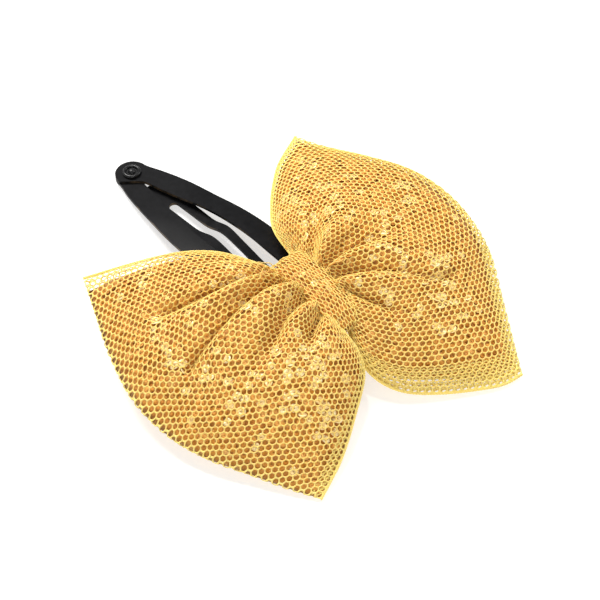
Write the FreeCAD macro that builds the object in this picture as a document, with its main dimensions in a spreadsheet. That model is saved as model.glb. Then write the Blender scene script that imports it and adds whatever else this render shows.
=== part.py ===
import FreeCAD, Part
import math
import os

# Hair bow on a snap clip, in millimetres. +X runs along the bow's long axis, +Y along the clip
# towards its nose, +Z up. The origin lies on the underside of the bar at the clip's wide end.
# The bow rests on its two loops at table height and the clip slopes down to its nose.
# "Front" means towards +Y, "left" towards -X. A "half" size is measured from the middle.

os.makedirs("parts", exist_ok=True)
doc = FreeCAD.newDocument("hair_bow")
V = FreeCAD.Vector

# ------------------------------------------------------------------ driving dimensions
DIMENSIONS = {
    # clip frame: tilt in degrees, sheet thickness, wide bar and its window, lapped nose
    "clip_tilt": 6.0, "steel": 0.5, "rivet_y": 45.0, "nose_x": -0.35,
    "bar_back": 2.3, "bar_front": 4.6, "bar_join": 6.0, "bar_half": 7.0, "window_half": 3.0,
    "lobe_radius": 2.85, "lap_gap": 0.02, "rivet_hole": 0.95,
    "leg_arch": 0.25, "clip_bow": 0.7, "bow_end": 38.0,
    # clip tongue
    "tongue_half": 2.5, "leaf_half": 2.75, "tongue_tip": 41.55,
    "slot_half": 0.88, "slot_front": 35.6, "slot_back": 9.0,
    # nose rivet
    "rivet_clear": 0.02, "foot_radius": 1.55, "foot_height": 0.35,
    "shank_radius": 0.93, "shank_sink": 0.1, "shank_rise": 0.25,
    "skirt_lap": 0.1, "skirt_height": 0.2, "ring_centre": 1.28, "ring_wire": 0.3,
    "dome_rise": 0.62, "dome_inset": 0.25, "dome_lift": 0.15,
    # centre wrap and waist: wrap_long and wrap_tall are the outer oval's half axes
    "knot_y": -1.5, "knot_z": 4.15, "wrap_width": 7.2, "wrap_long": 9.3, "wrap_tall": 2.75,
    "net_wall": 0.3, "sequin_gap": 0.45, "cloth_wall": 0.4, "cloth_short": 0.6,
    "waist_width": 8.8, "waist_wall": 0.28, "layer_gap": 0.05,
    # gathering thread
    "thread_space": 0.5, "thread_radius": 0.14, "thread_clear": 0.1, "thread_pitch": 1.1,
    "thread_end_radius": 0.12,
    # glue pad
    "glue_half": 3.3, "glue_back": 2.1, "glue_front": 6.2, "glue_height": 3.2,
    "glue_lift": 0.02, "glue_clear": 0.03,
    # stitches
    "stitch_radius": 0.16, "stitch_length": 1.7, "stitch_pitch": 2.4, "stitch_y": -6.4,
    "stitch_clear": 0.06,
    # loops: table is the table's height, loop_slope the rise per mm of y
    "table": -5.6, "loop_net_wall": 0.3, "loop_gap": 0.55, "loop_cloth_wall": 0.45,
    "loop_slope": 0.091,
    # sequins
    "sequin_radius": 1.0, "sequin_hole": 0.28, "sequin_thick": 0.12, "sequin_lift": 0.13,
    "wrap_sequin_radius": 0.9, "wrap_sequin_thick": 0.1,
}
sheet = doc.addObject("Spreadsheet::Sheet", "Dims")
for row, (alias, value) in enumerate(DIMENSIONS.items(), 1):
    sheet.set("A%d" % row, alias)
    sheet.set("B%d" % row, repr(value))
    sheet.setAlias("B%d" % row, alias)
doc.recompute()


def dim(alias):
    return float(sheet.get(alias))


CLIP_PLACE = FreeCAD.Placement(V(0, 0, 0), FreeCAD.Rotation(V(1, 0, 0), -dim("clip_tilt")))
KNOT_Y, KNOT_Z = dim("knot_y"), dim("knot_z")
KNOT_PLACE = FreeCAD.Placement(V(0, KNOT_Y, KNOT_Z), FreeCAD.Rotation())
kept = []


# ------------------------------------------------------------------ helpers
def keep(obj, label):
    """Label an object and list it for export."""
    obj.Label = label
    kept.append(obj)


def add_feature(name, shape):
    feature = doc.addObject("Part::Feature", name)
    feature.Shape = shape
    return feature


def add_primitive(kind, name, position, rotation=FreeCAD.Rotation(), **expressions):
    """A Part primitive whose properties are bound to the given expressions."""
    obj = doc.addObject("Part::" + kind, name)
    for prop, expression in expressions.items():
        obj.setExpression(prop, expression)
    obj.Placement = FreeCAD.Placement(position, rotation)
    return obj


def sketch_on(body, role, name):
    sketch = body.newObject("Sketcher::SketchObject", name)
    plane = [f for f in body.Origin.OriginFeatures if f.Role == role][0]
    sketch.AttachmentSupport = (plane, [""])
    sketch.MapMode = "FlatFace"
    return sketch


def pad_midplane(body, sketch, name, length):
    pad = body.newObject("PartDesign::Pad", name)
    pad.Profile = sketch
    pad.setExpression("Length", length)
    pad.Midplane = True


def pocket_through(body, sketch, name):
    pocket = body.newObject("PartDesign::Pocket", name)
    pocket.Profile = sketch
    pocket.Type = "ThroughAll"
    pocket.Midplane = True


def flat(points):
    return [V(x, y, 0) for x, y in points]


def mirrored(points):
    """The points mirrored in x and taken in reverse order."""
    return [V(-p.x, p.y, p.z) for p in reversed(points)]


def spline(points):
    curve = Part.BSplineCurve()
    curve.interpolate(Points=points)
    return curve


def closed_spline_wire(points):
    curve = Part.BSplineCurve()
    curve.interpolate(Points=points, PeriodicFlag=True)
    return Part.Wire([curve.toShape()])


def ramp(y, start, end):
    """Smooth step from 0 at start to 1 at end."""
    part = min(max((y - start) / (end - start), 0.0), 1.0)
    return part * part * (3 - 2 * part)


# ------------------------------------------------------------------ clip frame
# y, inner edge, outer edge of one leg (distances from the middle line)
LEG_STATIONS = [
    (6.0, 3.0, 7.0), (9.0, 3.0, 7.3), (12.0, 3.0, 7.42), (15.5, 3.1, 7.45), (19.0, 3.2, 7.4),
    (23.0, 3.1, 7.2), (27.0, 2.8, 6.78), (31.0, 2.2, 6.15), (34.0, 1.55, 5.62),
    (37.5, 0.8, 4.93), (40.5, 0.3, 4.2), (42.0, -0.05, 3.78), (43.0, -0.8, 3.45),
    (44.0, -1.9, 3.1), (45.0, -2.85, 2.85),
]
# y ranges over which a leg's arch grows and fades, its lap lifts and its nose shifts in x
ARCH_GROWS = (dim("bar_join"), 12.0)
ARCH_FADES = (30.0, 36.5)
LAP_LIFTS = (22.0, 41.0)
NOSE_SHIFTS = (34.0, dim("rivet_y"))


def clip_rise(y):
    """Lengthwise bow of the closed clip."""
    start, end = dim("bar_join"), dim("bow_end")
    part = (y - start) / (end - start)
    return dim("clip_bow") * math.sin(math.pi * part) ** 2 if 0 < part < 1 else 0.0


def leg(side, lift):
    """A leg with an arched section, lifted towards the nose where the two lap."""
    sections = []
    for y, inner, outer in LEG_STATIONS:
        arch = dim("leg_arch") * ramp(y, *ARCH_GROWS) * (1 - ramp(y, *ARCH_FADES))
        z = clip_rise(y) + lift * ramp(y, *LAP_LIFTS)
        shift = dim("nose_x") * ramp(y, *NOSE_SHIFTS)
        low = [V(side * outer + shift, y, z - arch),
               V(side * (inner + outer) / 2 + shift, y, z + 0.35 * arch),
               V(side * inner + shift, y, z + arch)]
        top = [p + V(0, 0, dim("steel")) for p in low]
        sections.append(Part.Wire([
            spline(low).toShape(), Part.makeLine(low[-1], top[-1]),
            spline(top[::-1]).toShape(), Part.makeLine(top[0], low[0])]))
    return Part.makeLoft(sections, True, False)


def lobe(lift):
    """The rounded end of a leg: the half disc in front of the leg's last station."""
    disc = Part.makeCylinder(dim("lobe_radius"), dim("steel"),
                             V(dim("nose_x"), dim("rivet_y"), lift))
    return disc.common(Part.makeBox(8, 4, 2, V(-4, dim("rivet_y"), lift - 0.5)))


def wide_bar():
    """The bar with its curved back edge and the notch of the window in its front edge."""
    half, join = dim("bar_half"), dim("bar_join")
    window, front = dim("window_half"), dim("bar_front")
    right = flat([(half, join), (6.55, 3.2), (5.25, 0.4), (3.0, -1.65)])
    back_edge = right + [V(0, -dim("bar_back"), 0)] + mirrored(right)
    corners = flat([(-half, join), (-window, join), (-window, front),
                    (window, front), (window, join), (half, join)])
    edges = [spline(back_edge).toShape()]
    edges += [Part.makeLine(a, b) for a, b in zip(corners, corners[1:])]
    return Part.Face(Part.Wire(edges)).extrude(V(0, 0, dim("steel")))


def build_clip_frame():
    lap = dim("steel") + dim("lap_gap")
    hole = Part.makeCylinder(dim("rivet_hole"), 6, V(dim("nose_x"), dim("rivet_y"), -2))
    shape = wide_bar().fuse([leg(-1, 0.0), leg(1, lap), lobe(0.0), lobe(lap)])
    shape = shape.removeSplitter().cut(hole)
    frame = add_feature("ClipFrame", shape.Solids[0] if len(shape.Solids) == 1 else shape)
    frame.Placement = CLIP_PLACE
    keep(frame, "clip_frame")


# ------------------------------------------------------------------ clip tongue
# y, z of the waved leaf's middle line
TONGUE_WAVE = [
    (5.0, 0.25), (8.5, -1.0), (12.0, -2.0), (15.6, -1.5), (17.5, -0.85), (19.5, -0.25),
    (21.3, 0.2), (23.6, 0.5), (25.3, 0.1), (27.2, -0.5), (30.0, -0.58), (33.0, -0.5),
    (37.0, -0.4), (41.8, -0.4),
]
WAVE_STEPS = 48
# x, y of the tongue's right edge
TONGUE_EDGE = [
    (dim("tongue_half"), 4.0), (dim("tongue_half"), 12.0), (2.42, 16.0), (2.4, 20.0),
    (2.55, 23.5), (2.62, 27.0), (2.7, 31.0), (2.7, 34.5), (2.6, 37.2), (2.3, 39.6),
]
# x, y corners of the area cleared around the tongue
TRIM_CORNERS = [(-9, 3), (9, 3), (9, 46), (-9, 46)]


def draw_tongue_side(sketch):
    """Offset the middle line by half the thickness; the root end is rounded."""
    radius = dim("steel") / 2
    middle = flat(TONGUE_WAVE)
    curve = spline(middle)
    first, last = curve.FirstParameter, curve.LastParameter
    upper, lower = [], []
    for i in range(WAVE_STEPS + 1):
        parameter = first + (last - first) * i / WAVE_STEPS
        point = curve.value(parameter)
        tangent = curve.tangent(parameter)[0]
        normal = V(-tangent.y, tangent.x, 0)
        normal.normalize()
        upper.append(point + normal * radius)
        lower.append(point - normal * radius)
    root = middle[0] - curve.tangent(first)[0] * radius
    sketch.addGeometry(spline(upper), False)
    sketch.addGeometry(Part.LineSegment(upper[-1], lower[-1]), False)
    sketch.addGeometry(spline(lower[::-1]), False)
    sketch.addGeometry(Part.Arc(lower[0], root, upper[0]), False)


def draw_tongue_plan(sketch):
    """The area to clear: a rectangle with the tongue's outline left inside it."""
    corners = flat(TRIM_CORNERS)
    for a, b in zip(corners, corners[1:] + corners[:1]):
        sketch.addGeometry(Part.LineSegment(a, b), False)
    right = flat(TONGUE_EDGE)
    left = mirrored(right)
    sketch.addGeometry(spline(right), False)
    sketch.addGeometry(Part.Arc(right[-1], V(0, dim("tongue_tip"), 0), left[0]), False)
    sketch.addGeometry(spline(left), False)
    sketch.addGeometry(Part.LineSegment(left[-1], right[0]), False)


def draw_tongue_slot(sketch):
    half, front, back = dim("slot_half"), dim("slot_front"), dim("slot_back")
    right_back, right_front = V(half, back + half, 0), V(half, front - half, 0)
    left_back, left_front = V(-half, back + half, 0), V(-half, front - half, 0)
    sketch.addGeometry(Part.LineSegment(right_back, right_front), False)
    sketch.addGeometry(Part.Arc(right_front, V(0, front, 0), left_front), False)
    sketch.addGeometry(Part.LineSegment(left_front, left_back), False)
    sketch.addGeometry(Part.Arc(left_back, V(0, back, 0), right_back), False)


def build_clip_tongue():
    body = doc.addObject("PartDesign::Body", "ClipTongue")
    side = sketch_on(body, "YZ_Plane", "TongueSide")
    draw_tongue_side(side)
    pad_midplane(body, side, "TongueLeaf", "Dims.leaf_half * 2")
    doc.recompute()
    leaf_volume = body.Shape.Volume
    plan = sketch_on(body, "XY_Plane", "TonguePlan")
    draw_tongue_plan(plan)
    pocket_through(body, plan, "TongueTrim")
    slot = sketch_on(body, "XY_Plane", "TongueSlot")
    draw_tongue_slot(slot)
    pocket_through(body, slot, "TongueSlotCut")
    doc.recompute()
    if not body.Shape.Volume < leaf_volume * 0.9:
        raise RuntimeError("the tongue's pockets cut nothing")
    body.Placement = CLIP_PLACE
    keep(body, "clip_tongue")


# ------------------------------------------------------------------ nose rivet
def build_nose_rivet():
    """Foot below the lapped lobes, shank through them, ring and dome on top."""
    clear = dim("rivet_clear")
    top = dim("steel") * 2 + dim("lap_gap") + clear

    def at_height(z):
        return V(dim("nose_x"), dim("rivet_y"), z)

    rivet = doc.addObject("Part::MultiFuse", "NoseRivet")
    rivet.Shapes = [
        add_primitive("Cylinder", "RivetFoot", at_height(-dim("foot_height") - clear),
                      Radius="Dims.foot_radius", Height="Dims.foot_height"),
        add_primitive("Cylinder", "RivetShank", at_height(-clear - dim("shank_sink")),
                      Radius="Dims.shank_radius",
                      Height="2 * Dims.steel + Dims.lap_gap + 2 * Dims.rivet_clear"
                             " + Dims.shank_rise + Dims.shank_sink"),
        add_primitive("Cylinder", "RivetSkirt", at_height(top),
                      Radius="Dims.ring_centre + Dims.skirt_lap", Height="Dims.skirt_height"),
        add_primitive("Torus", "RivetRing", at_height(top + dim("ring_wire")),
                      Radius1="Dims.ring_centre", Radius2="Dims.ring_wire"),
        add_primitive("Ellipsoid", "RivetDome", at_height(top + dim("dome_lift")),
                      Radius1="Dims.dome_rise",
                      Radius2="Dims.shank_radius - Dims.dome_inset",
                      Radius3="Dims.shank_radius - Dims.dome_inset"),
    ]
    rivet.Refine = True
    rivet.Placement = CLIP_PLACE
    keep(rivet, "nose_rivet")


# ------------------------------------------------------------------ centre wrap and waist
def inset(oval, amount):
    """Half axes of an oval shrunk by amount; a negative amount grows it."""
    return oval[0] - amount, oval[1] - amount


# outer half axes (along y, along z) of the nested layers, from the outside in
WRAP_OVAL = (dim("wrap_long"), dim("wrap_tall"))
CLOTH_OVAL = inset(WRAP_OVAL, dim("net_wall") + dim("sequin_gap"))
WAIST_OVAL = inset(CLOTH_OVAL, dim("cloth_wall") + dim("thread_space"))
CORE_OVAL = inset(WAIST_OVAL, dim("waist_wall") + dim("layer_gap"))


def build_band(name, label, width, outer, wall=None):
    """An oval band around the X axis, or a solid core when no wall is given."""
    body = doc.addObject("PartDesign::Body", name)
    sketch = sketch_on(body, "YZ_Plane", name + "Oval")
    sketch.addGeometry(Part.Ellipse(V(0, 0, 0), *outer), False)
    if wall:
        sketch.addGeometry(Part.Ellipse(V(0, 0, 0), *inset(outer, wall)), False)
    pad_midplane(body, sketch, name + "Pad", width)
    body.Placement = KNOT_PLACE
    keep(body, label)


def build_wrap_and_waist():
    build_band("WrapNet", "wrap_net", "Dims.wrap_width", WRAP_OVAL, dim("net_wall"))
    build_band("WrapCloth", "wrap_sequin_cloth", "Dims.wrap_width - Dims.cloth_short",
               CLOTH_OVAL, dim("cloth_wall"))
    build_band("WaistNet", "waist_net", "Dims.waist_width", WAIST_OVAL, dim("waist_wall"))
    build_band("WaistCloth", "waist_sequin_cloth", "Dims.waist_width", CORE_OVAL)


# ------------------------------------------------------------------ thread
# centre lines of the two loose ends, in front of the wrap
THREAD_END_PATHS = [
    [(-2.6, 8.0, 4.6), (-3.0, 9.6, 5.1), (-2.2, 11.2, 4.9), (-3.1, 12.8, 4.2)],
    [(-0.8, 8.05, 4.3), (-0.2, 9.4, 4.9), (-1.0, 10.6, 5.2), (-0.5, 11.8, 4.6)],
]


def oval_wire(oval):
    return Part.Wire([Part.Ellipse(V(0, 0, 0), *oval).toShape()])


def turn_to_yz(shape):
    """Turn a shape drawn in XY so that its x runs along Y and its y along Z."""
    shape.rotate(V(0, 0, 0), V(1, 0, 0), 90)
    shape.rotate(V(0, 0, 0), V(0, 0, 1), 90)


def sweep_round(path, start, direction, radius):
    circle = Part.Wire([Part.Circle(start, direction, radius).toShape()])
    return path.makePipeShell([circle], True, True)


def build_gathering_thread():
    """Three turns around the waist, inside the wrap."""
    radius = dim("thread_radius")
    turns = []
    for k in (-1, 0, 1):
        path = oval_wire(inset(WAIST_OVAL, -(radius + dim("thread_clear"))))
        turn_to_yz(path)
        path.translate(V(k * dim("thread_pitch"), 0, 0))
        turn = sweep_round(path, path.Vertexes[0].Point, V(0, 0, 1), radius)
        # a sweep around a closed path may come back as a bare shell
        turns.append(Part.Solid(turn) if turn.ShapeType == "Shell" else turn.Solids[0])
    thread = add_feature("GatheringThread", Part.makeCompound(turns))
    thread.Placement = KNOT_PLACE
    keep(thread, "gathering_thread")


def build_thread_ends():
    ends = []
    for path in THREAD_END_PATHS:
        points = [V(*p) for p in path]
        curve = spline(points)
        tangent = curve.tangent(curve.FirstParameter)[0]
        end = sweep_round(Part.Wire([curve.toShape()]), points[0], tangent,
                          dim("thread_end_radius"))
        ends.append(end.Solids[0])
    keep(add_feature("ThreadEnds", Part.makeCompound(ends)), "thread_ends")


# ------------------------------------------------------------------ glue and stitches
def build_glue_pad():
    """Glue between the clip's wide end and the wrap, hollowed to the wrap's underside."""
    block = add_primitive(
        "Box", "GlueBlock",
        V(-dim("glue_half"), -dim("glue_back"), dim("steel") + dim("glue_lift")),
        Length="Dims.glue_half * 2", Width="Dims.glue_back + Dims.glue_front",
        Height="Dims.glue_height")
    seat = Part.Face(oval_wire(inset(WRAP_OVAL, -dim("glue_clear")))).extrude(V(0, 0, 12))
    seat.translate(V(0, 0, -6))
    turn_to_yz(seat)
    seat.translate(V(0, KNOT_Y, KNOT_Z))
    # everything above the wrap's middle is cleared too
    seat = seat.fuse(Part.makeBox(20, 40, 20, V(-10, KNOT_Y - 20, KNOT_Z)))
    # the cut is made in the clip's own frame
    seat.transformShape(CLIP_PLACE.inverse().toMatrix(), True)
    glue = doc.addObject("Part::Cut", "GluePad")
    glue.Base = block
    glue.Tool = add_feature("GlueSeat", seat)
    glue.Placement = CLIP_PLACE
    keep(glue, "glue_pad")


def build_wrap_stitches():
    """Three stitches lying along the wrap's underside, behind the clip's bar."""
    long, tall = WRAP_OVAL
    y = dim("stitch_y")
    across = (y - KNOT_Y) / long
    depth = math.sqrt(1 - across ** 2)
    slope = math.atan(tall / long * across / depth)
    z = KNOT_Z - tall * depth - dim("stitch_radius") - dim("stitch_clear")
    half = 0.5 * dim("stitch_length")
    rotation = FreeCAD.Rotation(V(1, 0, 0), math.degrees(slope) - 90)
    stitches = []
    for k in (-1, 0, 1):
        start = V(k * dim("stitch_pitch"),
                  y - half * math.cos(slope), z - half * math.sin(slope))
        stitches.append(add_primitive("Cylinder", "Stitch%d" % (k + 2), start, rotation,
                                      Radius="Dims.stitch_radius",
                                      Height="Dims.stitch_length"))
    group = doc.addObject("Part::Compound", "WrapStitches")
    group.Links = stitches
    keep(group, "wrap_stitches")


# ------------------------------------------------------------------ sequins
# x, y of each sequin on top of the wrap, measured from the knot's centre
WRAP_SEQUINS = [(-2.0, -3.8), (0.1, -5.4), (2.0, -3.2), (-1.9, 0.8), (0.9, -0.4), (1.9, 2.6),
                (-0.6, 3.4)]


def sequin(point, normal, radius, thick):
    """A disc with a centre hole, lifted off the cloth along the normal."""
    base = point + normal * dim("sequin_lift")
    hole = Part.makeCylinder(dim("sequin_hole"), 1, base - normal * 0.3, normal)
    return Part.makeCylinder(radius, thick, base, normal).cut(hole)


def build_wrap_sequins():
    long, tall = CLOTH_OVAL
    discs = []
    for x, y in WRAP_SEQUINS:
        height = math.sqrt(1 - (y / long) ** 2)
        normal = V(0, tall * y / long ** 2 / height, 1)
        normal.normalize()
        discs.append(sequin(V(x, y + KNOT_Y, KNOT_Z + tall * height), normal,
                            dim("wrap_sequin_radius"), dim("wrap_sequin_thick")))
    keep(add_feature("SequinsWrap", Part.makeCompound(discs)), "sequins_wrap")


# ------------------------------------------------------------------ loops
# distance from the middle, lowest y, highest y, edge height, rise above it, depth below it
LOOP_STATIONS = [
    (4.7, -12.0, 9.0, 3.9, 2.3, 2.2), (6.4, -18.0, 15.0, 3.6, 3.4, 2.1),
    (8.7, -22.5, 20.0, 2.9, 4.7, 1.7), (10.8, -24.3, 22.5, 1.7, 6.2, 2.6),
    (13.5, -26.0, 24.5, 0.2, 7.8, 3.9), (17.0, -28.4, 27.0, -1.4, 9.0, 3.8),
    (20.5, -30.0, 29.0, -2.2, 8.9, 3.2), (24.0, -28.0, 28.3, -2.4, 7.6, 2.9),
    (28.0, -20.5, 21.5, -2.5, 5.5, 2.6), (31.5, -12.5, 14.5, -2.6, 3.7, 2.2),
    (34.0, -6.0, 8.0, -2.7, 2.2, 1.8), (35.4, -2.2, 4.2, -2.7, 1.2, 1.1),
]
SECTION_POINTS = 20
# sequin grid on each loop: columns step outwards in x, rows step in y
GRID_COLUMNS, GRID_FIRST_X, GRID_STEP_X = 6, 10.2, 3.3
GRID_ROWS, GRID_FIRST_Y, GRID_STEP_Y = 8, -17.5, 5.0
GRID_SHIFT_Y = (-0.9, 1.6)   # for even and odd columns
GRID_MARGIN = 5.5            # kept free at the loop's edges
STEEPEST_NORMAL_Z = 0.75     # no sequin where the cloth is steeper
PROBE_STEP = 0.15            # spacing of the height probes that give the normal


def loop_solid(side, shrink):
    """The loop's solid form shrunk on all sides, cut flat at the bottom."""
    first, last = LOOP_STATIONS[0][0], LOOP_STATIONS[-1][0]
    sections = []
    for station, y_low, y_high, edge, rise, depth in LOOP_STATIONS:
        x = first + shrink + (station - first) * (last - first - 2 * shrink) / (last - first)
        half = (y_high - y_low) / 2 - shrink
        middle = (y_high + y_low) / 2
        points = []
        for i in range(SECTION_POINTS):
            angle = 2 * math.pi * i / SECTION_POINTS
            y = middle + half * math.cos(angle)
            reach = (rise if math.sin(angle) > 0 else depth) - shrink
            z = edge + dim("loop_slope") * (y - middle) + reach * math.sin(angle)
            points.append(V(side * x, y, z))
        sections.append(closed_spline_wire(points))
    above_table = Part.makeBox(
        60, 90, 40, V(-5 if side > 0 else -55, -45, dim("table") + shrink))
    return Part.makeLoft(sections, True, False).common(above_table).Solids[0]


def loop_y_range(x):
    """Lowest and highest y of the loop at a distance from the middle."""
    for a, b in zip(LOOP_STATIONS, LOOP_STATIONS[1:]):
        if x <= b[0]:
            part = (x - a[0]) / (b[0] - a[0])
            return [a[col] + part * (b[col] - a[col]) for col in (1, 2)]


def top_height(shape, x, y):
    line = Part.makeLine(V(x, y, -20), V(x, y, 20))
    return max(v.Point.z for v in line.common(shape).Vertexes)


def top_point(shape, x, y):
    """Highest point of the shape at (x, y), and the surface normal there."""
    z = top_height(shape, x, y)
    z_x = top_height(shape, x + PROBE_STEP, y)
    z_y = top_height(shape, x, y + PROBE_STEP)
    normal = V(-(z_x - z) / PROBE_STEP, -(z_y - z) / PROBE_STEP, 1)
    normal.normalize()
    return V(x, y, z), normal


def loop_sequins(side, cloth):
    discs = []
    for i in range(GRID_COLUMNS):
        x = GRID_FIRST_X + GRID_STEP_X * i
        y_low, y_high = loop_y_range(x)
        span = (y_high - y_low) / 2 - GRID_MARGIN
        middle = (y_high + y_low) / 2
        for j in range(GRID_ROWS):
            y = middle + GRID_FIRST_Y + GRID_STEP_Y * j + GRID_SHIFT_Y[i % 2]
            if abs(y - middle) > span:
                continue
            point, normal = top_point(cloth, side * x, y)
            if normal.z >= STEEPEST_NORMAL_Z:
                discs.append(sequin(point, normal, dim("sequin_radius"), dim("sequin_thick")))
    return Part.makeCompound(discs)


def build_loop(side, word):
    """One loop: a net shell, a cloth shell inside it and sequins between them."""
    cloth_depth = dim("loop_net_wall") + dim("loop_gap")
    net_outer = loop_solid(side, 0.0)
    net_inner = loop_solid(side, dim("loop_net_wall"))
    cloth_outer = loop_solid(side, cloth_depth)
    cloth_inner = loop_solid(side, cloth_depth + dim("loop_cloth_wall"))
    suffix = word.title()
    keep(add_feature("NetLoop" + suffix, net_outer.cut(net_inner).Solids[0]),
         "net_loop_" + word)
    keep(add_feature("ClothLoop" + suffix, cloth_outer.cut(cloth_inner).Solids[0]),
         "sequin_cloth_" + word)
    keep(add_feature("Sequins" + suffix, loop_sequins(side, cloth_outer)), "sequins_" + word)


# ------------------------------------------------------------------ build, check and export
build_clip_frame()
build_clip_tongue()
build_nose_rivet()
build_wrap_and_waist()
build_gathering_thread()
build_thread_ends()
build_glue_pad()
build_wrap_stitches()
build_loop(-1, "left")
build_loop(1, "right")
build_wrap_sequins()
doc.recompute()

for obj in doc.Objects:
    if "Invalid" in obj.State or "Error" in obj.State:
        raise RuntimeError("%s failed: %s" % (obj.Label, obj.State))
for obj in kept:
    if obj.Shape.isNull() or not obj.Shape.isValid() or not obj.Shape.Solids:
        raise RuntimeError("%s has no valid shape" % obj.Label)
for obj in kept:
    obj.Shape.exportStep("parts/%s.step" % obj.Label)
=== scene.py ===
"""A hair bow: two puffed loops of sequin cloth under yellow hexagonal netting, held by a centre wrap.

The bow faces +Z. Its loops reach to -X (left) and +X (right), -Y is the front and +Y the back,
and the clip lies underneath. Lengths are millimetres unless noted; MM turns them into metres.
"""
import math

import bpy
import numpy as np
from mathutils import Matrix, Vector


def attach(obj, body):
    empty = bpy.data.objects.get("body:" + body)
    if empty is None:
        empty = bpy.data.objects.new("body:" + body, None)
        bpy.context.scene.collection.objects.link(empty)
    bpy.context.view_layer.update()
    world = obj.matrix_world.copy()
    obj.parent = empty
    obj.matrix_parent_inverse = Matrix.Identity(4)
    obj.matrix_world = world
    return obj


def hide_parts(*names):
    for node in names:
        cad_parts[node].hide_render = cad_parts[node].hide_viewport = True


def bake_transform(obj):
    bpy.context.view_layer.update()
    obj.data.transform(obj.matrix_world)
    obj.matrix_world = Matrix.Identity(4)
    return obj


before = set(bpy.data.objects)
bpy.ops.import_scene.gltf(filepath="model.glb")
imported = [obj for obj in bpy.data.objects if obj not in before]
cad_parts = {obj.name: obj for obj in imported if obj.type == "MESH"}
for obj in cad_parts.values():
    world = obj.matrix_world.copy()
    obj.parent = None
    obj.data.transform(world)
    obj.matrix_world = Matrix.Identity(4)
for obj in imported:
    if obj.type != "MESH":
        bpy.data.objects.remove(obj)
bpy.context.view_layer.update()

rng = np.random.default_rng(11)
MM = 0.001
TABLE = -5.6                            # height of the surface the bow rests on

# loops
STEPS_OUT, STEPS_ALONG = 40, 76         # grid steps from wrap to outer fold, and from front to back
CLOTH_REACH, CLOTH_LENGTH = 35.0, 66.0  # flat size of one sheet in those two directions

# netting
PITCH = 1.12
THREAD_WIDTH, THREAD_HEIGHT = 0.26, 0.2

# centre wrap
KNOT = np.array([0.4, -1.4, 4.15])
WRAP_RADIUS_Y, WRAP_RADIUS_Z, WRAP_HALF = 9.5, 2.95, 3.45
WAIST_CENTRE = np.array([0.0, -1.5, 4.15])
WAIST_RADIUS_Y, WAIST_RADIUS_Z, WAIST_HALF = 7.45, 0.92, 4.1

# sequins: sides, and the (share of the radius, height) of each ring of the cupped section
SEQUIN_SIDES = 10
SEQUIN_RINGS = [(1, 0.0), (0.95, 0.11), (0.12, 0.02), (0.12, -0.05), (0.9, -0.05)]

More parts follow.
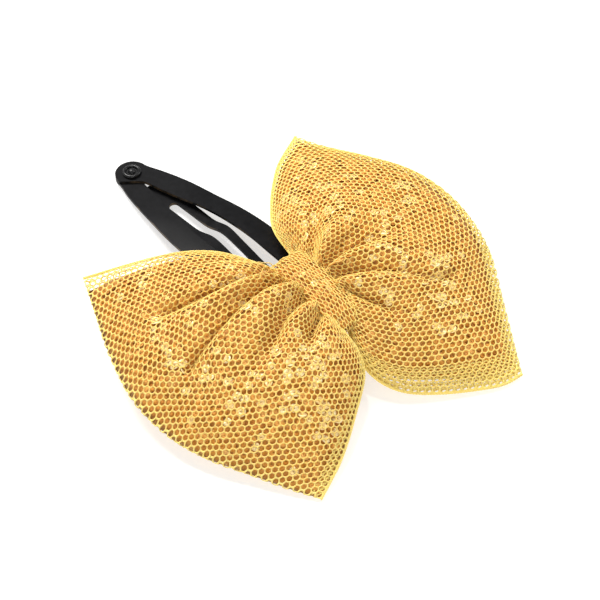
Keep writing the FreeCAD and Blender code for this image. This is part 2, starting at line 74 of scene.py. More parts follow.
# Loop shapes.
# waist: along the wrap, front to back. back_edge, front_edge: from the wrap to each outer corner.
# outer: round the outer fold, back corner to front corner. Points are x, y, z.
# folds: (x, y) polyline, depth, width at the wrap, width at the far end, share over which it fades.
# rise, peak: height of the puff, and where it is highest as shares (outwards, front to back).
# inset: share of the reach the cloth fills, then its gaps at the front and back edges.
# hem: width of the second net layer at the front edge, the back edge and the outer fold.
# blend_x: where the loop starts to leave the knot, and where it is free of it.
LOOPS = {
    "left": {
        "side": -1,
        "waist": [(-2.2, -9.2, 3.6), (-2.2, -5.0, 4.1), (-2.2, 0.0, 4.3), (-2.2, 4.5, 4.2),
                  (-2.0, 8.0, 3.7)],
        "back_edge": [(-2.0, 8.0, 3.7), (-4.1, 12.8, 3.7), (-6.9, 17.8, 3.4), (-11.7, 22.7, 2.6),
                      (-17.7, 26.2, 1.7), (-24.9, 29.6, 0.8)],
        "front_edge": [(-2.2, -9.2, 3.6), (-2.1, -13.6, 2.2), (-4.4, -18.0, 0.7),
                       (-10.8, -22.6, -1.4), (-14.5, -25.0, -2.6), (-18.4, -27.1, -3.8),
                       (-24.7, -29.8, -5.0)],
        "outer": [(-24.9, 29.6, 0.8), (-28.6, 22.3, 0.0), (-32.3, 14.7, -0.8), (-35.6, 5.2, -1.6),
                  (-36.0, -4.2, -2.4), (-34.1, -12.0, -3.0), (-30.9, -18.6, -3.6),
                  (-27.8, -24.6, -4.4), (-24.7, -29.8, -5.0)],
        "folds": [
            ([(-2.5, 4.6), (-11.5, 7.1), (-20.2, 10.9), (-27.0, 15.6)], 2.6, 0.9, 1.5, 0.3),
            ([(-2.5, 1.4), (-11.9, 2.5), (-18.9, 2.2), (-24.9, 1.0), (-31.5, -0.8)],
             2.8, 0.85, 1.3, 0.25),
            ([(-4.0, 0.2), (-11.9, 0.9), (-18.9, 0.4), (-24.9, -1.0), (-30.0, -3.2)],
             -1.3, 0.8, 1.1, 0.4),
            ([(-4.0, 3.2), (-11.5, 5.4), (-20.2, 8.9), (-26.5, 13.2)], -1.0, 0.9, 1.2, 0.5),
            ([(-2.5, -2.2), (-9.7, -3.9), (-14.3, -6.0), (-19.7, -7.7), (-25.0, -8.6)],
             2.7, 0.85, 1.7, 0.65),
            ([(-2.5, -5.6), (-7.4, -8.3), (-9.9, -11.0), (-10.2, -14.2)], 2.6, 0.8, 1.6, 0.6),
            ([(-2.5, -3.9), (-8.6, -6.1), (-12.8, -9.4)], -0.9, 1.2, 2.4, 0.8),
            ([(-2.5, 3.0), (-11.7, 4.9), (-20.0, 6.6), (-27.0, 7.4)], -0.9, 1.2, 2.4, 0.7),
            ([(-2.5, -0.4), (-11.0, -0.8), (-18.0, -2.6), (-25.0, -4.0)], -1.0, 1.1, 2.4, 0.7),
            ([(-2.5, 6.4), (-9.0, 12.0), (-16.0, 17.4)], -0.7, 1.4, 3.0, 0.8),
            ([(-5.0, 9.4), (-11.0, 14.4), (-17.0, 19.0)], 0.8, 0.9, 1.4, 0.8),
            ([(-3.2, -7.6), (-6.0, -12.4), (-8.6, -17.4)], -0.7, 1.0, 2.4, 0.8),
        ],
        "rise": 7.7, "peak": (0.42, 0.42), "inset": (0.995, 0.004, 0.048),
        "hem": (1.4, 0.6, 0.0), "blend_x": (-3.0, -9.5),
    },
    "right": {
        "side": 1,
        "waist": [(2.8, -9.2, 3.4), (3.0, -5.0, 4.1), (3.0, 0.0, 4.3), (3.0, 4.5, 4.2),
                  (2.8, 8.0, 3.7)],
        "back_edge": [(2.8, 8.0, 3.7), (5.0, 15.0, 2.9), (9.0, 20.1, 1.9), (13.0, 23.9, 1.4),
                      (16.9, 26.8, 1.0), (23.0, 29.5, 0.8)],
        "front_edge": [(2.8, -9.2, 3.2), (-1.2, -12.0, 1.4), (-2.2, -15.2, -0.4),
                       (-1.5, -18.8, -2.3), (0.8, -22.5, -3.5), (5.2, -26.0, -4.3),
                       (10.6, -29.3, -4.7), (15.0, -31.4, -4.9), (18.9, -31.7, -5.0)],
        "outer": [(23.0, 29.5, 0.8), (24.7, 25.5, 0.8), (26.4, 22.5, 0.8), (29.1, 18.3, 0.6),
                  (32.2, 12.8, 0.2), (33.8, 7.9, -0.2), (34.3, 1.9, -0.8), (33.3, -4.7, -1.4),
                  (31.2, -10.6, -2.0), (27.6, -16.8, -2.8), (23.9, -23.1, -3.6),
                  (18.9, -31.7, -5.0)],
        "folds": [
            ([(3.2, 0.8), (9.5, 0.4), (13.9, -0.2), (18.6, -1.6), (23.5, -2.2)],
             2.3, 0.9, 2.2, 0.7),
            ([(3.2, -2.0), (8.7, -4.6), (12.4, -7.4), (15.6, -10.6), (20.3, -12.1), (28.5, -10.8)],
             2.1, 0.9, 1.7, 0.45),
            ([(3.2, 3.6), (7.5, 8.0), (11.5, 13.0), (14.5, 17.0)], 2.2, 0.9, 1.8, 0.7),
            ([(3.2, 6.2), (6.0, 12.0)], 1.4, 0.8, 1.4, 0.7),
            ([(3.2, -5.8), (6.2, -12.0), (8.2, -18.0)], 2.0, 0.8, 1.8, 0.7),
            ([(3.2, -0.7), (10.0, -2.0), (16.5, -5.2), (22.0, -7.5)], -1.1, 1.2, 2.6, 0.8),
            ([(3.2, 2.2), (10.0, 5.0), (17.0, 9.0)], -1.0, 1.2, 3.0, 0.8),
            ([(3.2, -4.2), (9.5, -9.2), (14.0, -15.0)], -0.9, 1.1, 2.8, 0.8),
        ],
        "rise": 7.8, "peak": (0.44, 0.5), "inset": (0.972, 0.044, 0.014),
        "hem": (5.0, 1.4, 2.0), "blend_x": (3.4, 9.9),
    },
}

# Clusters of sequins painted bright cream as glints, in plan: x, y, radius.
PAINTED_GLINT_SPOTS = {
    "left": [
        (-12.0, -13.0, 6.0), (-17.5, -12.0, 5.5), (-22.0, -8.0, 4.5), (-25.5, -11.0, 4.0),
        (-20.5, 8.0, 3.5), (-25.0, 10.5, 3.6), (-9.5, 9.0, 3.2), (-8.0, -1.0, 2.6),
        (-27.5, 4.0, 3.0), (-17.0, -19.5, 4.2), (-28.5, -17.0, 2.6), (-14.5, 1.0, 2.6),
        (-24.5, -2.0, 3.0), (-19.0, 20.0, 3.0)],
    "right": [
        (8.5, 11.0, 5.0), (12.5, 8.5, 4.5), (10.0, 16.5, 4.0), (15.0, 14.0, 3.5),
        (13.0, -5.5, 4.2), (16.5, -14.0, 4.6), (12.0, -17.0, 4.6), (20.5, -9.0, 3.2),
        (26.0, 6.0, 3.2), (8.0, -10.0, 2.8), (22.0, 12.5, 2.6), (18.5, 2.0, 2.6),
        (18.5, 22.5, 3.0)],
}

# Cut thread ends beside the wrap: x, y, z points and radius.
THREAD_TAILS = [
    ([(-2.3, 7.6, 3.6), (-2.9, 8.9, 4.0), (-3.3, 10.1, 3.6), (-2.8, 11.0, 3.2)], 0.09),
    ([(-1.2, 7.9, 3.3), (-1.0, 9.2, 3.7), (-1.7, 10.2, 3.5), (-2.0, 11.4, 3.0)], 0.09),
    ([(-2.9, 6.9, 3.9), (-3.7, 7.9, 4.3), (-4.5, 8.6, 4.2)], 0.08),
]


# ---------------------------------------------------------------- curves and grids
def path_lengths(points):
    """Distance run along a polyline at each of its points."""
    return np.concatenate([[0], np.cumsum(np.linalg.norm(np.diff(points, axis=0), axis=1))])


def read_path(points, lengths, wanted):
    return np.stack([np.interp(wanted, lengths, points[:, axis]) for axis in range(3)], 1)


def resample(points, count):
    """A Catmull-Rom curve through the points, sampled evenly by arc length."""
    points = np.array(points, float)
    padded = np.vstack([2 * points[0] - points[1], points, 2 * points[-1] - points[-2]])
    curve = []
    for i in range(1, len(padded) - 2):
        a, b, c, d = padded[i - 1:i + 3]
        for u in np.linspace(0, 1, 24, endpoint=False):
            curve.append(0.5 * ((2 * b) + (c - a) * u + (2 * a - 5 * b + 4 * c - d) * u * u
                                + (3 * b - a - 3 * c + d) * u ** 3))
    curve.append(points[-1])
    curve = np.array(curve)
    lengths = path_lengths(curve)
    return read_path(curve, lengths, np.linspace(0, lengths[-1], count))


def smooth01(value):
    value = np.clip(value, 0, 1)
    return value * value * (3 - 2 * value)


def unit(vectors):
    return vectors / np.maximum(np.linalg.norm(vectors, axis=-1, keepdims=True), 1e-9)


def grid_normals(grid, side):
    return unit(np.cross(np.gradient(grid, axis=0), np.gradient(grid, axis=1)) * side)


def read_grid(grid, u, v):
    """Smooth cubic reading of a grid at fractional indices u, v."""
    def weights(f):
        return np.stack([-0.5 * f ** 3 + f ** 2 - 0.5 * f, 1.5 * f ** 3 - 2.5 * f ** 2 + 1,
                         -1.5 * f ** 3 + 2 * f ** 2 + 0.5 * f, 0.5 * f ** 3 - 0.5 * f ** 2], 0)
    rows, columns = grid.shape[:2]
    u = np.clip(u, 0, rows - 1.000001)
    v = np.clip(v, 0, columns - 1.000001)
    i, j = np.floor(u).astype(int), np.floor(v).astype(int)
    weight_u, weight_v = weights(u - i), weights(v - j)
    total = 0
    for k in range(4):
        for l in range(4):
            near = grid[np.clip(i + k - 1, 0, rows - 1), np.clip(j + l - 1, 0, columns - 1)]
            total = total + (weight_u[k] * weight_v[l])[:, None] * near
    return total


def grid_sampler(grid, normals, width, length, lift=0.0):
    """Reads points and normals of a grid at flat coordinates in millimetres."""
    steps_u, steps_v = grid.shape[0] - 1, grid.shape[1] - 1

    def sample(u, v):
        at_u, at_v = np.asarray(u) / width * steps_u, np.asarray(v) / length * steps_v
        normal = unit(read_grid(normals, at_u, at_v))
        return read_grid(grid, at_u, at_v) + normal * lift, normal
    return sample


def even_rows(grid, amount=0.85):
    """Slides the material along each row so that a fold takes up real cloth."""
    result = grid.copy()
    for i, row in enumerate(grid):
        lengths = path_lengths(row)
        even = np.linspace(0, lengths[-1], len(row))
        result[i] = read_path(row, lengths, (1 - amount) * lengths + amount * even)
    return result


def even_columns(grid, normals, amount=0.85):
    """Spreads the net evenly from wrap to outer fold, so that its cells keep their size."""
    moved, moved_normals = grid.copy(), normals.copy()
    even = np.linspace(0, 1, len(grid))
    for j in range(grid.shape[1]):
        run = path_lengths(grid[:, j])
        run /= max(run[-1], 1e-9)
        wanted = amount * even + (1 - amount) * run
        moved[:, j] = read_path(grid[:, j], run, wanted)
        moved_normals[:, j] = read_path(normals[:, j], run, wanted)
    return moved, moved_normals


# ---------------------------------------------------------------- meshes
def mesh_object(name, points, faces, material, attributes=None):
    mesh = bpy.data.meshes.new(name)
    mesh.from_pydata((np.asarray(points) * MM).tolist(), [], faces)
    mesh.validate()
    mesh.update()
    mesh.polygons.foreach_set("use_smooth", [True] * len(mesh.polygons))
    for key, values in (attributes or {}).items():
        attribute = mesh.attributes.new(key, "FLOAT", "POINT")
        attribute.data.foreach_set("value", np.asarray(values, np.float32))
    ob = bpy.data.objects.new(name, mesh)
    bpy.context.scene.collection.objects.link(ob)
    mesh.materials.append(material)
    return ob


def join(parts):
    """Several (points, faces) pairs as one."""
    points, faces = [], []
    for part_points, part_faces in parts:
        start = len(points)
        faces += [tuple(start + v for v in face) for face in part_faces]
        points += list(part_points)
    return points, faces


def tube(path, radius, sides, reference):
    """A capped tube along a path; radius is one value or one for each point."""
    tangent = unit(np.gradient(path, axis=0))
    across = unit(np.cross(tangent, reference))
    other = np.cross(tangent, across)
    angle = (2 * math.pi * np.arange(sides) / sides)[None, :, None]
    ring = across[:, None] * np.cos(angle) + other[:, None] * np.sin(angle)
    radii = np.broadcast_to(radius, len(path))[:, None, None]
    points = (path[:, None] + radii * ring).reshape(-1, 3)
    last = (len(path) - 1) * sides
    faces = []
    for a in range(0, last, sides):
        for k in range(sides):
            following = (k + 1) % sides
            faces.append((a + k, a + following, a + sides + following, a + sides + k))
    faces.append(tuple(range(sides))[::-1])
    faces.append(tuple(last + k for k in range(sides)))
    return points, faces


def closed_band(name, outer, inner, material):
    """A ring-shaped band between two grids whose last column repeats the first."""
    rows, columns = outer.shape[0], outer.shape[1] - 1
    points = np.vstack([outer[:, :columns].reshape(-1, 3), inner[:, :columns].reshape(-1, 3)])
    under = rows * columns
    faces = []
    for i in range(rows - 1):
        for j in range(columns):
            k = (j + 1) % columns
            a, b = i * columns, (i + 1) * columns
            faces.append((a + j, b + j, b + k, a + k))
            faces.append((under + a + j, under + a + k, under + b + k, under + b + j))
    end = (rows - 1) * columns
    for j in range(columns):
        k = (j + 1) % columns
        faces.append((j, k, under + k, under + j))
        faces.append((end + k, end + j, under + end + j, under + end + k))
    return mesh_object(name, points, faces, material)


def on_knot(ob, replaces):
    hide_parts(replaces)
    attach(ob, "clip_and_knot")


def on_loop(ob, replaces=None):
    if replaces:
        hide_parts(replaces)
    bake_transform(ob)


# ---------------------------------------------------------------- materials
class Shader:
    """A material with a principled surface and short calls for the nodes that feed it.

    Texture scales count per metre and bump distances are metres.
    """

    def __init__(self, name):
        self.material = bpy.data.materials.new(name)
        self.material.use_nodes = True
        self.tree = self.material.node_tree
        self.tree.nodes.clear()
        output = self.add("OutputMaterial")
        self.principled = self.add("BsdfPrincipled")
        self.tree.links.new(self.principled.outputs[0], output.inputs[0])
        self.coords = self.add("TexCoord").outputs["Object"]

    def add(self, kind):
        return self.tree.nodes.new("ShaderNode" + kind)

    def put(self, socket, value):
        """Links another node's output, or sets a plain value."""
        if isinstance(value, bpy.types.NodeSocket):
            self.tree.links.new(value, socket)
        else:
            socket.default_value = value

    def surface(self, values):
        for name, value in values.items():
            self.put(self.principled.inputs[name], value)
        return self.material

    def texture(self, kind, **inputs):
        texture = self.add("Tex" + kind)
        for name, value in inputs.items():
            texture.inputs[name].default_value = value
        self.put(texture.inputs["Vector"], self.coords)
        return texture

    def noise(self, scale, detail=2.0, rough=0.5):
        return self.texture("Noise", Scale=scale, Detail=detail, Roughness=rough).outputs["Fac"]

    def wave(self, direction="X", **inputs):
        texture = self.texture("Wave", **inputs)
        texture.bands_direction = direction
        return texture.outputs["Fac"]

    def attribute(self, name):
        attribute = self.add("Attribute")
        attribute.attribute_name = name
        return attribute.outputs["Fac"]

    def ramp(self, factor, stops):
        ramp = self.add("ValToRGB")
        elements = ramp.color_ramp.elements
        while len(elements) < len(stops):
            elements.new(0.5)
        for element, (position, colour) in zip(elements, stops):
            element.position = position
            element.color = (*colour, 1)
        self.put(ramp.inputs[0], factor)
        return ramp.outputs["Color"]

    def mix(self, factor, first, second):
        mix = self.add("Mix")
        mix.data_type = "RGBA"
        self.put(mix.inputs["Factor"], factor)
        for socket, colour in ((mix.inputs[6], first), (mix.inputs[7], second)):
            self.put(socket, (*colour, 1) if isinstance(colour, tuple) else colour)
        return mix.outputs[2]

    def math(self, operation, *values):
        node = self.add("Math")
        node.operation = operation
        for socket, value in zip(node.inputs, values):
            self.put(socket, value)
        return node.outputs[0]

    def remap(self, value, source=(0, 1), target=(0.0, 1.0)):
        node = self.add("MapRange")
        for socket, item in zip(node.inputs, (value, *source, *target)):
            self.put(socket, item)
        return node.outputs[0]

    def bump(self, height, strength, distance):
        bump = self.add("Bump")
        bump.inputs["Strength"].default_value = strength
        bump.inputs["Distance"].default_value = distance
        self.put(bump.inputs["Height"], height)
        return bump.outputs[0]


def net_material():
    shader = Shader("net_yellow")
    broad = shader.noise(scale=180)
    fine = shader.noise(scale=2600, detail=3, rough=0.6)
    lemon = shader.mix(broad, (0.85, 0.575, 0.115), (0.91, 0.635, 0.16))
    rim = shader.attribute("rim")
    # painted highlight: lighter, warmer yellow towards the borders (rim), lifting the shade in the
    # hems
    lemon = shader.mix(rim, lemon, (0.94, 0.73, 0.19))
    pale = shader.remap(fine, source=(0.35, 0.7), target=(0.0, 0.35))
    colour = shader.mix(pale, lemon, (0.96, 0.78, 0.34))
    return shader.surface({
        "Base Color": colour,
        "Roughness": shader.remap(fine, source=(0.3, 0.7), target=(0.42, 0.62)),
        "Specular IOR Level": 0.35,
        "Subsurface Weight": 0.1,
        "Subsurface Radius": (0.0006, 0.0004, 0.0001),
        "Subsurface Scale": 1.0,
        "Sheen Weight": 0.25,
        "Sheen Roughness": 0.4,
        "Sheen Tint": (1.0, 0.86, 0.45, 1),
        # painted glow: the net emits a little in its own colour, more near the borders (rim), which
        # lifts its shade
        "Emission Color": colour,
        "Emission Strength": shader.remap(rim, target=(0.015, 0.05)),
        # twisted filament ridges
        "Normal": shader.bump(shader.wave(Scale=2400, Distortion=4, Detail=2),
                              strength=0.35, distance=0.00003),
    })


def cloth_material():
    shader = Shader("sequin_cloth")
    mottle = shader.noise(scale=420, detail=3)
    broad = shader.noise(scale=120)
    base = shader.ramp(mottle, [(0.25, (0.36, 0.115, 0.006)), (0.5, (0.54, 0.205, 0.014)),
                                (0.75, (0.72, 0.34, 0.055))])
    base = shader.mix(shader.remap(broad, source=(0.35, 0.7), target=(0.0, 0.45)),
                      base, (0.72, 0.37, 0.085))
    # glitter flecks in the cloth
    fleck = shader.remap(shader.texture("Voronoi", Scale=900).outputs["Color"],
                         source=(0.78, 0.92))
    # plain weave: two crossed sets of bands
    surface = {
        "Base Color": shader.mix(fleck, base, (0.86, 0.52, 0.17)),
        "Roughness": shader.remap(fleck, target=(0.62, 0.25)),
        "Metallic": shader.math("MULTIPLY", fleck, 0.6),
        "Sheen Weight": 0.2,
    }
    weave = shader.math("MAXIMUM", shader.wave("X", Scale=1500), shader.wave("Y", Scale=1500))
    surface["Normal"] = shader.bump(weave, strength=0.5, distance=0.00006)
    return shader.surface(surface)


def sequin_material():
    shader = Shader("sequin_gold")
    tone_and_glint = shader.attribute("tone_and_glint")
    # tone_and_glint: dull sequins vary at random over the lower stops; the cream upper stops are
    # painted glints on sequins that would catch the light
    colour = shader.ramp(tone_and_glint, [(0.0, (0.56, 0.22, 0.022)), (0.2, (0.72, 0.33, 0.055)),
                                (0.45, (0.86, 0.46, 0.12)), (0.78, (1.0, 0.72, 0.29)),
                                (1.0, (1.0, 0.84, 0.45))])
    grain = shader.noise(scale=1500)
    colour = shader.mix(shader.remap(grain, source=(0.4, 0.75), target=(0.0, 0.12)),
                        colour, (1.0, 0.78, 0.45))
    shine = shader.remap(tone_and_glint, source=(0.5, 0.8))
    return shader.surface({
        "Base Color": colour,
        "Metallic": shader.remap(shine, target=(0.05, 0.12)),
        "Roughness": shader.remap(shine, target=(0.5, 0.3)),
        "Coat Weight": shader.math("MULTIPLY", shine, 0.12),
        "Coat Roughness": 0.15,
        "Specular IOR Level": 0.25,
        "Normal": shader.bump(grain, strength=0.3, distance=0.00005),
    })


def black_paint_material(name, specular, roughness):
    """Black paint, worn to bare metal in patches on faces that point sideways."""
    shader = Shader(name)
    grain = shader.noise(scale=900, detail=4, rough=0.6)
    geometry = shader.add("NewGeometry")
    normal = shader.add("SeparateXYZ")
    shader.put(normal.inputs[0], geometry.outputs["Normal"])
    sideways = shader.remap(shader.math("ABSOLUTE", normal.outputs["Z"]),
                            source=(0.25, 0.5), target=(1.0, 0.0))
    patch = shader.remap(shader.noise(scale=260, detail=3), source=(0.52, 0.62))
    wear = shader.math("MULTIPLY", sideways, patch)
    paint = shader.mix(shader.remap(grain, source=(0.3, 0.75)),
                       (0.0045, 0.0045, 0.005), (0.0075, 0.0075, 0.0085))
    return shader.surface({
        "Base Color": shader.mix(shader.math("MULTIPLY", wear, 0.55), paint, (0.17, 0.12, 0.07)),
        "Metallic": shader.math("MULTIPLY", wear, 0.5),
        "Roughness": shader.remap(grain, source=(0.3, 0.7), target=roughness),
        "Specular IOR Level": specular,
        "Normal": shader.bump(shader.noise(scale=2600), strength=0.08, distance=0.00002),
    })


def glue_material():
    shader = Shader("hot_melt_glue")
    mottle = shader.noise(scale=400, detail=3)
    return shader.surface({
        "Base Color": shader.ramp(mottle, [(0.3, (0.62, 0.52, 0.30)), (0.7, (0.78, 0.70, 0.50))]),
        "Roughness": 0.3,
        "Subsurface Weight": 0.3,
        "Subsurface Radius": (0.001, 0.0008, 0.0005),
        "Normal": shader.bump(mottle, strength=0.4, distance=0.0002),
    })


def thread_material():
    shader = Shader("thread_yellow")
    twist = shader.wave(Scale=1800, Distortion=3)
    return shader.surface({
        # darker bands where the twist's bump is low: painted shade in the grooves
        "Base Color": shader.ramp(twist, [(0.2, (0.60, 0.38, 0.05)), (0.8, (0.90, 0.70, 0.24))]),
        "Roughness": 0.5,
        "Sheen Weight": 0.4,
        "Normal": shader.bump(twist, strength=0.5, distance=0.00006),
    })


def floor_material():
    shader = Shader("studio_floor")
    mottle = shader.noise(scale=6)
    return shader.surface({
        "Base Color": shader.ramp(mottle, [(0.3, (0.50, 0.498, 0.495)),
                                           (0.7, (0.53, 0.528, 0.525))]),
        "Roughness": 0.8,
        "Specular IOR Level": 0.1,
        "Emission Color": (1.0, 0.995, 0.985, 1),
        "Emission Strength": 0.64,
    })


NET, CLOTH, SEQUIN = net_material(), cloth_material(), sequin_material()
CLIP = black_paint_material("clip_black_paint", specular=0.07, roughness=(0.38, 0.46))
GLUE, THREAD = glue_material(), thread_material()
RIVET = black_paint_material("rivet_black_paint", specular=0.3, roughness=(0.22, 0.3))


# ---------------------------------------------------------------- loop surfaces
def fold_shift(plan, folds):
    """Height change at each plan point: folds of positive depth press in, negative ones stand up."""
    shift = np.zeros(len(plan))
    for line, depth, near_width, far_width, fade in folds:
        line = resample([(x, y, 0) for x, y in line], 80)[:, :2]
        distance = np.linalg.norm(plan[:, None, :] - line[None], axis=2)
        along = distance.argmin(1) / 79.0
        taper = 1 - smooth01((along - (1 - fade)) / fade)
        width = near_width + (far_width - near_width) * along
        shift -= depth * taper * np.exp(-np.abs(distance.min(1) / width) ** 1.7)
    return shift


def border_surface(spec, s, t):
    """Surface spanned by the four edge lines, at shares s outwards and t front to back."""
    waist = resample(spec["waist"], STEPS_ALONG + 1)
    outer = resample(spec["outer"][::-1], STEPS_ALONG + 1)
    front = resample(spec["front_edge"], STEPS_OUT + 1)
    back = resample(spec["back_edge"], STEPS_OUT + 1)
    s, t = s[..., None], t[..., None]
    return ((1 - t) * front[:, None] + t * back[:, None] + (1 - s) * waist[None] + s * outer[None]
            - ((1 - s) * (1 - t) * waist[0] + (1 - s) * t * waist[-1]
               + s * (1 - t) * outer[0] + s * t * outer[-1]))


def loop_grids(spec):
    """Upper and lower sheet of a loop, which meet along the outer fold and both long edges."""
    s = np.linspace(0, 1, STEPS_OUT + 1)[:, None]
    t = np.linspace(0, 1, STEPS_ALONG + 1)[None, :]
    middle = border_surface(spec, s, t)
    upper, lower = middle.copy(), middle.copy()

    # puff profiles: outwards, starting at 0.13 of full height, and front to back
    peak_s, peak_t = spec["peak"]
    puff_s = np.where(
        s < peak_s,
        0.13 + 0.87 * np.sin(np.clip(0.5 * np.pi * s / peak_s, 0, 0.5 * np.pi)) ** 1.1,
        np.cos(0.5 * np.pi * np.clip((s - peak_s) / (1 - peak_s), 0, 1)) ** 0.58)
    centred = np.where(t < peak_t, 0.5 * t / peak_t, 0.5 + 0.5 * (t - peak_t) / (1 - peak_t))
    puff_t = np.sin(np.pi * np.clip(centred, 0, 1)) ** 0.55
    height = spec["rise"] * puff_s * puff_t
    upper[..., 2] += height

    # folds press in less where the puff is thin
    fold = fold_shift(middle[..., :2].reshape(-1, 2), spec["folds"]).reshape(height.shape)
    fold = np.where(fold < 0, fold * np.clip((height + 1.6) / 5.0, 0, 1), fold)
    # 11 small gathers that die away over 5.5 mm from the wrap
    gather = (0.45 * np.cos(2 * np.pi * 11 * t + 0.6 + 2 * np.sin(5 * t))
              * np.exp(-s * CLOTH_REACH / 5.5))
    upper[..., 2] += (fold + gather) * np.clip(puff_t * 1.6, 0, 1) * np.clip((1 - s) * 5, 0, 1)
    lower[..., 2] -= np.minimum(3.4, 0.45 * height) + 0.3 * gather * puff_t

    # the lower sheet stays above the table, and above the sloping top of the clip
    x, y = np.abs(lower[..., 0]), lower[..., 1]
    over_clip = (1 - smooth01((x - 8.4) / 3.0)) * smooth01((y + 7.0) / 3.5)
    clip_top = 1.75 - 0.105 * np.clip(y, -3, 60)
    floor = (TABLE + 0.22) * (1 - over_clip) + clip_top * over_clip
    lower[..., 2] = np.maximum(lower[..., 2], floor)
    # the sheets keep 0.5 mm apart, less towards the border
    spacing = 0.5 * np.clip(puff_t * 3, 0, 1) * np.clip((1 - s) * 8, 0, 1)
    upper[..., 2] = np.maximum(upper[..., 2], lower[..., 2] + spacing)
    upper = even_rows(upper)
    for k in (0, STEPS_ALONG):
        lower[:, k] = upper[:, k] = middle[:, k]
    lower[-1] = upper[-1] = middle[-1]
    return upper, lower


def sewn_points(upper, lower):
    """Points of two sheets joined on every border but the waist."""
    return np.vstack([upper.reshape(-1, 3), lower[:-1, 1:-1].reshape(-1, 3)])


def sewn_faces(side):
    """Index grids of the two sewn sheets, and their faces."""
    rows, columns = STEPS_OUT + 1, STEPS_ALONG + 1
    upper = np.arange(rows * columns).reshape(rows, columns)
    lower = upper.copy()
    inner = lower[:-1, 1:-1]
    inner[:] = rows * columns + np.arange(inner.size).reshape(inner.shape)
    up, low = upper.tolist(), lower.tolist()
    faces = []
    for i in range(STEPS_OUT):
        for j in range(STEPS_ALONG):
            a = [up[i][j], up[i + 1][j], up[i + 1][j + 1], up[i][j + 1]]
            b = [low[i][j], low[i][j + 1], low[i + 1][j + 1], low[i + 1][j]]
            faces += [a[::side], b[::side]]
    return upper, lower, faces


def hold_weight(i, j):
    """Firm at the waist, softer on the border, light just outside the waist."""
    if i <= 1:
        return 1.0
    if i == STEPS_OUT or j in (0, STEPS_ALONG):
        return 0.75
    return 0.35 if i <= 4 else 0.0


def simulate(side, upper, lower):
    """Inflates the loop gently as cloth with its real flat size."""
    scale = 0.02  # one millimetre is two centimetres in the simulation
    most_travel = 3.0
    index_upper, index_lower, faces = sewn_faces(side)
    start = sewn_points(upper, lower)
    across, along = np.meshgrid(np.linspace(0, CLOTH_REACH, STEPS_OUT + 1),
                                np.linspace(0, CLOTH_LENGTH, STEPS_ALONG + 1), indexing="ij")
    plan = np.stack([across, along, 0 * across], -1)
    mesh = bpy.data.meshes.new("sim")
    mesh.from_pydata((start * scale).tolist(), [], faces)
    ob = bpy.data.objects.new("sim", mesh)
    bpy.context.scene.collection.objects.link(ob)
    ob.shape_key_add(name="Basis")
    flat = ob.shape_key_add(name="flat")
    flat.data.foreach_set("co", (sewn_points(plan, plan) * scale).ravel())
    flat.value = 0
    group = ob.vertex_groups.new(name="hold")
    for (i, j), index in np.ndenumerate(index_upper):
        weight = hold_weight(i, j)
        if weight:
            group.add([int(index)], weight, "REPLACE")
            group.add([int(index_lower[i, j])], weight, "REPLACE")
    modifier = ob.modifiers.new("Cloth", "CLOTH")
    cloth = modifier.settings
    cloth.quality = 6
    cloth.mass = 0.15
    cloth.tension_stiffness = 25
    cloth.compression_stiffness = 25
    cloth.shear_stiffness = 6
    cloth.bending_stiffness = 0.35
    cloth.air_damping = 4
    cloth.vertex_group_mass = "hold"
    cloth.pin_stiffness = 3.0
    cloth.use_pressure = True
    cloth.uniform_pressure_force = 3.2
    cloth.rest_shape_key = flat
    cloth.effector_weights.gravity = 0.0
    modifier.collision_settings.use_collision = False
    modifier.point_cache.frame_start = 1
    modifier.point_cache.frame_end = 40
    scene = bpy.context.scene
    for f in range(1, 27):
        scene.frame_set(f)
    evaluated = ob.evaluated_get(bpy.context.evaluated_depsgraph_get())
    end = np.zeros(len(start) * 3)
    evaluated.to_mesh().vertices.foreach_get("co", end)
    end = end.reshape(-1, 3) / scale
    scene.frame_set(1)
    bpy.data.objects.remove(ob)

    move = end - start
    travel = np.linalg.norm(move, axis=1)
    end = start + move * np.minimum(1, most_travel / np.maximum(travel, 1e-9))[:, None]
    upper, lower = end[index_upper], end[index_lower]
    lower[..., 2] = np.maximum(lower[..., 2], TABLE + 0.2)
    upper[..., 2] = np.maximum(upper[..., 2], TABLE + 0.25)
    return upper, lower


# ---------------------------------------------------------------- hexagonal netting as threads
def hex_cells(width, length, margin, stretch=(1.0, 1.0), shift=(0.0, 0.0), keep=None):
    """Centres of the hexagons that fit on a flat piece, in staggered rows."""
    pitch_u, pitch_v = PITCH * stretch[0], PITCH * stretch[1] * math.sqrt(3) / 2
    cells = []
    for j in range(-1, int(length / pitch_v) + 3):
        for i in range(-1, int(width / pitch_u) + 3):
            u = (i + 0.5 * (j % 2)) * pitch_u + shift[0] + margin + pitch_u / 2
            v = j * pitch_v + shift[1] + margin + PITCH * stretch[1] / math.sqrt(3)
            if u - pitch_u / 2 < margin - 1e-6 or u + pitch_u / 2 > width - margin:
                continue
            if v - 0.6 * pitch_v < margin - 0.05 or v + 0.6 * pitch_v > length - margin:
                continue
            if keep is None or keep(u, v):
                cells.append((u, v))
    return cells


